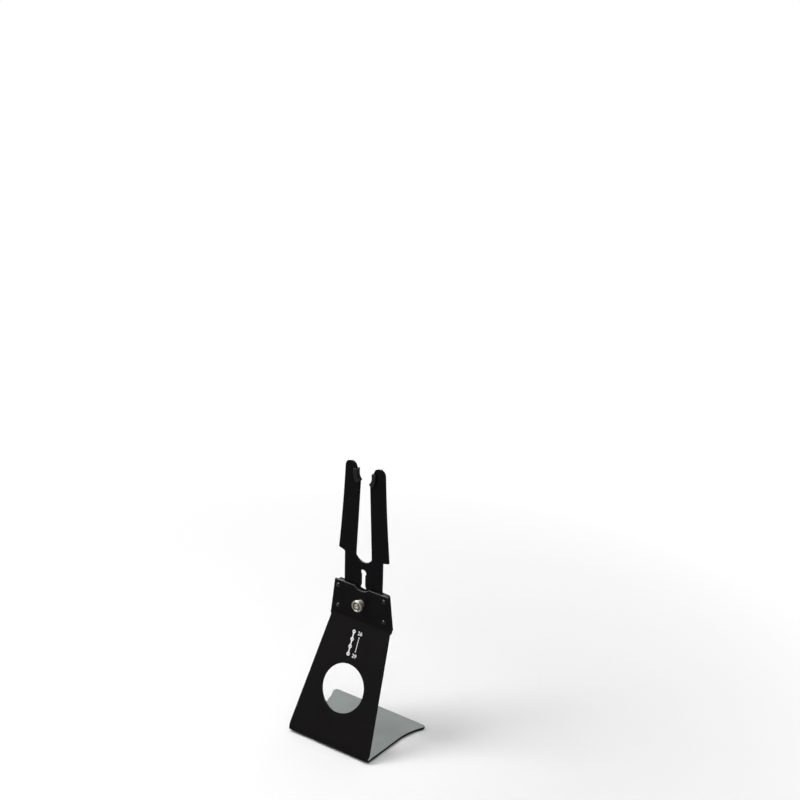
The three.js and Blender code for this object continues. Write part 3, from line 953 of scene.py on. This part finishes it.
@dataclass
class PullPin:
    """Bush, knob, lock pin, clip and spring on one line through the head."""

    cap: float = 1.4 * MM
    bush_radius: float = 5.6 * MM
    spigot_radius: float = 5.1 * MM
    bore_radius: float = 4.4 * MM
    passage: float = 2.8 * MM
    rim_width: float = 2.4 * MM
    groove_depth: float = 1.2 * MM
    boss_radius: float = 3.6 * MM
    dimple_radius: float = 1.3 * MM
    dimple_depth: float = 0.6 * MM
    dimple_ring: tuple[float, float] = (0.6, 0.85)
    socket_radius: float = 2.1 * MM
    socket_depth: float = 2.4 * MM
    knob_edge: float = 0.6 * MM
    edge_steps: int = 6
    boss_edge: float = 0.2 * MM
    small_edge: float = 0.15 * MM
    wire_radius: float = 0.3 * MM
    turns: int = 4
    end_rise: float = 0.12
    flat_turns: float = 0.5
    smooth_below: float = math.radians(50)
    steps_per_turn: int = 28
    wire_resolution: int = 3
    travel: float = 4 * MM

    def __post_init__(self) -> None:
        """Finds the pin's line in the frame and makes the two steels."""
        self.axis = middle_of("pull_knob")
        self.steel = TurnedSteel(self.axis).material("turned_steel")
        end = TurnedSteel(self.axis, colour=(0.30, 0.29, 0.265), grain=0.0)
        self.end_steel = end.material("pin_end_steel")
        self.satin = TurnedSteel(self.axis, colour=(0.50, 0.48, 0.41), tarnish=(0.40, 0.375, 0.30),
                                 gloss=(0.46, 0.54), grain=0.0).material("satin_steel")
        self.wire_steel = SpringSteel().material("spring_steel")

    def build(self) -> None:
        """Builds the five pieces."""
        self.knob()
        self.bush()
        for node, name, steel, slot in (("lock_pin", "locking_pin", self.steel, "bright_steel"),
                                        ("retaining_clip", "pin_clip", self.wire_steel, "spring_steel")):
            obj = carried_over(node, name, self.small_edge, 2)
            dress(obj, steel, Body.PLUNGER, [node])
        self.spring()

    def knob(self) -> None:
        """Flat knob: rim, ring groove, boss with a dimple, and the blind socket behind."""
        low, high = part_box("pull_knob")
        radius = (high.x - low.x) / 2
        front, back = low.y, high.y
        groove = front + self.groove_depth
        ring_out, ring_in = self.dimple_ring
        rounding = []
        for step in range(self.edge_steps + 1):
            angle = math.pi / 2 * step / self.edge_steps
            rounding.append((radius - self.knob_edge * (1 - math.sin(angle)),
                             front + self.knob_edge * (1 - math.cos(angle))))
        profile = [
            (0.0, front + self.dimple_depth),
            (self.dimple_radius * ring_out, front + self.dimple_depth * ring_in),
            (self.dimple_radius, front),
            (self.boss_radius, front),
            (self.boss_radius, groove),
            (radius - self.rim_width, groove),
            (radius - self.rim_width, front),
            *rounding,
            (radius, back),
            (self.socket_radius, back),
            (self.socket_radius, back - self.socket_depth),
            (0.0, back - self.socket_depth),
        ]
        obj = turned("knob", profile, self.axis)
        round_edges(obj, self.boss_edge, over=TURNED_ANGLE)
        # Marks where painted shade darkens the groove and dimple.
        self.mark_recess_shade(obj.data, front + self.dimple_depth / 2, radius - self.rim_width + self.boss_edge)
        dress(obj, self.steel, Body.PLUNGER, ["pull_knob"])
        obj.data.materials.append(self.end_steel)
        for face in obj.data.polygons:
            out = math.hypot(face.center.x - self.axis.x, face.center.z - self.axis.z)
            if out < self.boss_radius and face.center.y < groove:
                face.material_index = 1

    def mark_recess_shade(self, mesh: bpy.types.Mesh, front: float, reach: float) -> None:
        """Writes the painted shade's mask: 1 in the ring groove's corners and the dimple, and 0 on the
        front faces.

        Args:
            mesh: The knob's mesh.
            front: The shade is painted behind this depth.
            reach: It is painted this far out from the pin's line.
        """
        values = []
        for vertex in mesh.vertices:
            out = math.hypot(vertex.co.x - self.axis.x, vertex.co.z - self.axis.z)
            values.append(1.0 if vertex.co.y > front and out < reach else 0.0)
        mark(mesh, "recess_shade", values)

    def bush(self) -> None:
        """Bush with a cap in front, a flange against the head and a bore for collar and spring."""
        low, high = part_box("plunger_bush")
        shoulder = head_face() - SEAT_GAP
        profile = [
            (self.passage, low.y),
            (self.bush_radius, low.y),
            (self.bush_radius, shoulder),
            (self.spigot_radius, shoulder),
            (self.spigot_radius, high.y),
            (self.bore_radius, high.y),
            (self.bore_radius, low.y + self.cap),
            (self.passage, low.y + self.cap),
        ]
        obj = turned("bush", profile, self.axis, closed=True)
        round_edges(obj, self.small_edge, 2)
        dress(obj, self.satin, Body.FRAME, ["plunger_bush"])

    def spring(self) -> None:
        """Compression spring with closed ends, which the pin's collar squashes against the cap."""
        low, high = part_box("plunger_spring")
        mean = (high.x - low.x) / 2 - self.wire_radius
        front, back = low.y + self.wire_radius, high.y - self.wire_radius
        count = self.turns * self.steps_per_turn
        curve = bpy.data.curves.new("coil_spring", "CURVE")
        curve.dimensions = "3D"
        curve.bevel_depth = self.wire_radius
        curve.bevel_resolution = self.wire_resolution
        curve.use_fill_caps = True
        spline = curve.splines.new("POLY")
        spline.points.add(count)
        for index, point in enumerate(spline.points):
            share = index / count
            angle = 2 * math.pi * self.turns * share
            climb = front + (back - front) * self.closed_ends(share)
            point.co = (self.axis.x + mean * math.cos(angle), climb,
                        self.axis.z + mean * math.sin(angle), 1.0)
        obj = bpy.data.objects.new("coil_spring", curve)
        bpy.context.scene.collection.objects.link(obj)
        select_only(obj)
        bpy.ops.object.convert(target="MESH")
        obj = bpy.context.active_object
        bpy.ops.object.shade_smooth_by_angle(angle=self.smooth_below)
        dress(obj, self.wire_steel, Body.FRAME, ["plunger_spring"])
        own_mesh(obj)

    def closed_ends(self, share: float) -> float:
        """Climb along the spring: slow in its flat first and last turns, even between.

        Args:
            share: Place along the wire, from 0 to 1.

        Returns:
            The climb there, from 0 to 1.
        """
        flat = self.flat_turns / self.turns
        if share < flat:
            return self.end_rise * share / flat
        if share > 1 - flat:
            return 1 - self.end_rise * (1 - share) / flat
        return self.end_rise + (1 - 2 * self.end_rise) * (share - flat) / (1 - 2 * flat)


@dataclass
class RubberFeet:
    """Four round feet under the floor plate, each with a ring groove on its sole."""

    taper: float = 0.6 * MM
    edge: float = 0.25 * MM
    land: float = 3.0 * MM
    groove_width: float = 1.4 * MM
    groove_depth: float = 0.45 * MM
    feet: int = 4
    facets: int = 64
    facing_down: float = -0.9

    def build(self) -> None:
        """Models one foot and copies it to the other places."""
        rubber = Rubber().material("foot_rubber")
        first = self.foot("rubber_foot_1", "foot_1")
        for foot, node in set_out(first, "rubber_foot", "foot", self.feet):
            dress(foot, rubber, Body.FRAME, [node])

    def foot(self, name: str, node: str) -> bpy.types.Object:
        """One foot: a low cone with a grooved sole.

        Args:
            name: The piece's name.
            node: The CAD node at its place.

        Returns:
            The foot, not yet dressed.
        """
        low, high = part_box(node)
        radius = (high.x - low.x) / 2
        bpy.ops.object.select_all(action="DESELECT")
        bpy.ops.mesh.primitive_cone_add(vertices=self.facets, radius1=radius - self.taper, radius2=radius,
                                        depth=high.z - low.z, location=middle_of(node))
        obj = new_piece(name)
        middle = middle_of(node)
        outer = radius - self.taper - self.land
        with editing(obj):
            pick_faces(obj, lambda face: face.normal.z < self.facing_down)
            bpy.ops.mesh.inset(thickness=self.land)
            bpy.ops.mesh.inset(thickness=self.groove_width)
            pick_faces(obj, lambda face: face.normal.z < self.facing_down
                       and outer - self.groove_width < (face.center - middle).xy.length < outer)
            bpy.ops.mesh.extrude_region_move(TRANSFORM_OT_translate={"value": (0, 0, self.groove_depth)})
        round_edges(obj, self.edge, segments=2, over=TURNED_ANGLE)
        return obj


@dataclass
class HeightScale:
    """Printed scale on the front plate: four joined rings, and a plain number at each end of a line."""

    lean: float = math.radians(24.0)
    bend_height: float = 165.0 * MM
    ring_places: tuple[float, ...] = (132.8, 143.2, 153.6, 164.1)
    rings_x: float = -5.7 * MM
    numbers_x: float = 4.5 * MM
    ring_radius: float = 2.6 * MM
    hole_radius: float = 0.95 * MM
    neck_half: float = 0.85 * MM
    line_half: float = 0.4 * MM
    serif_half: float = 1.0 * MM
    number_height: float = 5.0 * MM
    digit_share: float = 0.70
    number_clear: float = 5.4 * MM
    boldness: float = 0.13 * MM
    glyph_steps: int = 6
    film: float = 0.03 * MM
    labels: tuple[str, str] = ("29", "26")
    arc_steps: int = 14

    def build(self) -> None:
        """Prints the scale on the front plate."""
        ink = WhiteInk().material("white_ink")
        low, high = self.ring_places[0] * MM, self.ring_places[-1] * MM
        pieces = [self.film_piece("scale_rings", self.ring_outlines())]
        pieces.append(self.film_piece("scale_line", [self.line_outline(low, high)]))
        for label, along in zip(self.labels, (low, high)):
            pieces.append(self.number(label, along))
        for piece in pieces:
            dress(piece, ink, Body.FRAME)

    def plate(self) -> Matrix:
        """Frame of the front plate's face: x across, y up the slope from the floor, z out of it.

        Returns:
            The matrix from that frame to the row frame.
        """
        up = Vector((0, math.sin(self.lean), math.cos(self.lean)))
        out = Vector((0, -math.cos(self.lean), math.sin(self.lean)))
        foot = Vector((0, head_face(), self.bend_height)) - up * (self.bend_height / math.cos(self.lean))
        return Matrix((
            (1, up.x, out.x, foot.x),
            (0, up.y, out.y, foot.y),
            (0, up.z, out.z, foot.z),
            (0, 0, 0, 1),
        ))

    def ring_outlines(self) -> list[list[Vector]]:
        """Outline of the chain of rings, and the holes in it.

        Returns:
            The outline and then each hole, in the plate's frame.
        """
        reach = math.asin(self.neck_half / self.ring_radius)
        places = [place * MM for place in self.ring_places]
        right: list[Vector] = []
        for index, place in enumerate(places):
            start = -math.pi / 2 + (reach if index else 0.0)
            end = math.pi / 2 - (reach if index < len(places) - 1 else 0.0)
            right += self.arc(place, self.ring_radius, start, end)
        left = [Vector((2 * self.rings_x - point.x, point.y)) for point in reversed(right)]
        holes = [self.arc(place, self.hole_radius, 0.0, 2 * math.pi)[:-1] for place in places]
        return [right + left[1:-1], *holes]

    def arc(self, place: float, radius: float, start: float, end: float) -> list[Vector]:
        """Arc round a ring's centre.

        Args:
            place: The centre, up the slope.
            radius: The arc's radius.
            start: Where it starts, in radians.
            end: Where it ends.

        Returns:
            Its points, with both ends.
        """
        return [Vector((self.rings_x + radius * math.cos(angle), place + radius * math.sin(angle)))
                for angle in (start + (end - start) * step / self.arc_steps
                              for step in range(self.arc_steps + 1))]

    def line_outline(self, low: float, high: float) -> list[Vector]:
        """Outline of the thin line with a short bar at each end.

        Args:
            low: Middle of the lower number, up the slope.
            high: Middle of the upper number.

        Returns:
            The outline, in the plate's frame.
        """
        bottom, top = low + self.number_clear, high - self.number_clear
        thick = 2 * self.line_half
        right = [
            (self.serif_half, bottom), (self.serif_half, bottom + thick),
            (self.line_half, bottom + thick), (self.line_half, top - thick),
            (self.serif_half, top - thick), (self.serif_half, top),
        ]
        left = [(-x, y) for x, y in reversed(right)]
        return [Vector((self.numbers_x + x, y)) for x, y in right + left]

    def film_piece(self, name: str, outlines: Sequence[Sequence[Vector]]) -> bpy.types.Object:
        """Thin closed film of ink with that outline.

        Args:
            name: The piece's name.
            outlines: The outline and its holes, in the plate's frame.

        Returns:
            The piece in the row frame.
        """
        curve = bpy.data.curves.new(name, "CURVE")
        curve.dimensions = "2D"
        curve.fill_mode = "BOTH"
        curve.extrude = self.film
        for outline in outlines:
            spline = curve.splines.new("POLY")
            spline.points.add(len(outline) - 1)
            for point, place in zip(spline.points, outline):
                point.co = (place.x, place.y, 0.0, 1.0)
            spline.use_cyclic_u = True
        obj = bpy.data.objects.new(name, curve)
        bpy.context.scene.collection.objects.link(obj)
        return self.settle(obj, name)

    def number(self, label: str, along: float) -> bpy.types.Object:
        """A plain number, centred on the scale's line.

        Args:
            label: The digits.
            along: Its middle, up the slope.

        Returns:
            The piece in the row frame.
        """
        bpy.ops.object.select_all(action="DESELECT")
        bpy.ops.object.text_add(location=(0, 0, 0))
        obj = bpy.context.active_object
        obj.data.body = label
        obj.data.size = self.number_height / self.digit_share
        obj.data.offset = self.boldness
        obj.data.resolution_u = self.glyph_steps
        obj.data.align_x = "CENTER"
        obj.data.extrude = self.film
        obj.location = (self.numbers_x, along - self.number_height / 2, 0)
        return self.settle(obj, f"scale_number_{label}")

    def settle(self, obj: bpy.types.Object, name: str) -> bpy.types.Object:
        """Turns a text or curve into a mesh and lays it on the front plate.

        Args:
            obj: The text or curve, in the plate's frame.
            name: The piece's name.

        Returns:
            The piece in the row frame.
        """
        select_only(obj)
        bpy.ops.object.convert(target="MESH")
        obj = bpy.context.active_object
        obj.name = name
        obj.data.name = name
        obj.data.transform(self.plate() @ obj.matrix_basis)
        obj.matrix_world = Matrix.Identity(4)
        with editing(obj):
            bpy.ops.mesh.select_all(action="SELECT")
            bpy.ops.mesh.remove_doubles(threshold=MICRON)
        return obj


# Studio


@dataclass(frozen=True)
class Softbox:
    """A plain lamp that looks at the stand."""

    name: str
    azimuth: float
    elevation: float
    distance: float
    width: float
    height: float
    power: float
    tint: Colour = (1.0, 1.0, 1.0)
    diffuse: bool = True


def seen_plainly(nodes: bpy.types.Nodes, links: bpy.types.NodeLinks) -> bpy.types.NodeSocket:
    """1 for a ray from the camera, off a mirror or through glass, and 0 for plain light.

    Args:
        nodes: The nodes to add to.
        links: Their links.

    Returns:
        The switch.
    """
    paths = nodes.new("ShaderNodeLightPath")
    seen = paths.outputs["Is Camera Ray"]
    for kind in ("Is Glossy Ray", "Is Transmission Ray"):
        either = nodes.new("ShaderNodeMath")
        either.operation = "MAXIMUM"
        links.new(seen, either.inputs[0])
        links.new(paths.outputs[kind], either.inputs[1])
        seen = either.outputs[0]
    return seen


def towards(azimuth: float, elevation: float) -> Vector:
    """Direction from the stand to a lamp or the camera.

    Args:
        azimuth: Radians from the stand's front, positive to its right.
        elevation: Radians above level.

    Returns:
        A unit vector.
    """
    return Vector((math.sin(azimuth) * math.cos(elevation), -math.cos(azimuth) * math.cos(elevation),
                   math.sin(elevation)))


@dataclass
class Studio:
    """Pale floor, soft lamps, a white surround and the photograph's camera."""

    azimuth: float = 35.144
    elevation: float = 23.926
    roll: float = 1.555
    camera_at: Vector = field(default_factory=lambda: Vector((1.38255, -1.87634, 1.52914)))
    focal_pixels: float = 2000.6
    picture_pixels: float = 800.0
    sensor_width: float = 36.0
    clip_near: float = 0.05
    clip_far: float = 50.0
    floor_size: float = 14.0
    floor_colour: Colour = (0.90, 0.90, 0.90)
    floor_roughness: float = 0.9
    floor_gap: float = 0.02 * MM
    shadow_reach: float = 0.30
    white_reach: float = 0.75
    surround: float = 0.42
    target: Vector = field(default_factory=lambda: Vector((0.0, 0.0, 0.17)))
    lamps: tuple[Softbox, ...] = (
        Softbox("key", 307.0, 50.0, 2.0, 0.9, 0.9, 26.0),
        Softbox("overhead", 0.0, 88.0, 2.0, 1.2, 1.2, 12.0),
        Softbox("window_card", 307.0, 50.0, 2.1, 2.2, 1.3, 200.0, diffuse=False),
        Softbox("front_card", 327.0, 17.0, 2.2, 1.2, 1.0, 6.0, diffuse=False),
        Softbox("rear_card", 215.0, 24.0, 1.6, 1.3, 1.3, 205.0, tint=(0.92, 1.0, 0.985), diffuse=False),
    )

    def build(self) -> None:
        """Makes the floor, the surround, the lamps and the camera."""
        bpy.context.scene.view_settings.view_transform = "Standard"
        self.floor()
        self.world()
        for lamp in self.lamps:
            self.lamp(lamp)
        self.camera()

    def floor(self) -> None:
        """Wide pale floor under the feet, which keeps the stand's shadow and is plain white further out."""
        bpy.ops.object.select_all(action="DESELECT")
        bpy.ops.mesh.primitive_plane_add(size=self.floor_size, location=(0, 0, -self.floor_gap))
        obj = new_piece("studio_floor")
        sheet = Sheet("studio_floor")
        sheet.colour(self.floor_colour)
        sheet.fixed(Roughness=self.floor_roughness, Specular_IOR_Level=0.0)
        glow = sheet.nodes.new("ShaderNodeEmission")
        far = sheet.nodes.new("ShaderNodeVectorMath")
        far.operation = "LENGTH"
        sheet.links.new(sheet.place, far.inputs[0])
        outside = sheet.spread(far.outputs["Value"], self.shadow_reach, self.white_reach)
        mix = sheet.nodes.new("ShaderNodeMixShader")
        plain = seen_plainly(sheet.nodes, sheet.links)
        sheet.links.new(sheet.maths("MULTIPLY", outside, plain), mix.inputs[0])
        sheet.links.new(sheet.shader.outputs[0], mix.inputs[1])
        sheet.links.new(glow.outputs[0], mix.inputs[2])
        sheet.links.new(mix.outputs[0], sheet.nodes["Material Output"].inputs["Surface"])
        obj.data.materials.append(sheet.material)

    def world(self) -> None:
        """White where the camera, a mirror or glass looks, and a plain even light otherwise."""
        world = bpy.data.worlds.new("studio")
        bpy.context.scene.world = world
        world.use_nodes = True
        nodes, links = world.node_tree.nodes, world.node_tree.links
        nodes.clear()
        mix = nodes.new("ShaderNodeMixShader")
        links.new(seen_plainly(nodes, links), mix.inputs[0])
        for socket, strength in ((1, self.surround), (2, 1.0)):
            background = nodes.new("ShaderNodeBackground")
            background.inputs["Strength"].default_value = strength
            background.inputs["Color"].default_value = (1, 1, 1, 1)
            links.new(background.outputs[0], mix.inputs[socket])
        output = nodes.new("ShaderNodeOutputWorld")
        links.new(mix.outputs[0], output.inputs["Surface"])

    def lamp(self, box: Softbox) -> None:
        """Adds one softbox, aimed at the stand.

        Args:
            box: Its place, size and light.
        """
        away = towards(math.radians(box.azimuth), math.radians(box.elevation))
        bpy.ops.object.select_all(action="DESELECT")
        bpy.ops.object.light_add(type="AREA", location=self.target + away * box.distance)
        lamp = bpy.context.active_object
        lamp.name = box.name
        lamp.rotation_euler = away.to_track_quat("Z", "Y").to_euler()
        lamp.data.shape = "RECTANGLE"
        lamp.data.size = box.width
        lamp.data.size_y = box.height
        lamp.data.energy = box.power
        lamp.data.color = box.tint
        lamp.visible_camera = False
        lamp.visible_diffuse = box.diffuse

    def camera(self) -> None:
        """Camera with the photograph's place, angles and lens."""
        azimuth, elevation, roll = (math.radians(a) for a in (self.azimuth, self.elevation, self.roll))
        ahead = -towards(azimuth, elevation)
        level = ahead.cross(Vector((0, 0, 1))).normalized()
        rise = level.cross(ahead)
        right = level * math.cos(roll) + rise * math.sin(roll)
        up = rise * math.cos(roll) - level * math.sin(roll)
        bpy.ops.object.select_all(action="DESELECT")
        bpy.ops.object.camera_add()
        camera = bpy.context.active_object
        camera.name = "photo_camera"
        turn = Matrix((right, up, -ahead)).transposed().to_4x4()
        camera.matrix_world = Matrix.Translation(self.camera_at) @ turn
        camera.data.sensor_width = self.sensor_width
        camera.data.lens = self.focal_pixels / self.picture_pixels * self.sensor_width
        camera.data.clip_start = self.clip_near
        camera.data.clip_end = self.clip_far
        bpy.context.scene.camera = camera


def main() -> None:
    """Builds the stand's pieces in order, then the studio."""
    logging.basicConfig(level=logging.INFO, format="%(message)s")
    Studio().build()
    for assembly in (BentBracket(), GuideChannel(), SlidingFork(), PullPin(), RubberFeet(), HeightScale()):
        LOG.info("building %s", type(assembly).__name__)
        assembly.build()


if __name__ == "__main__":
    main()
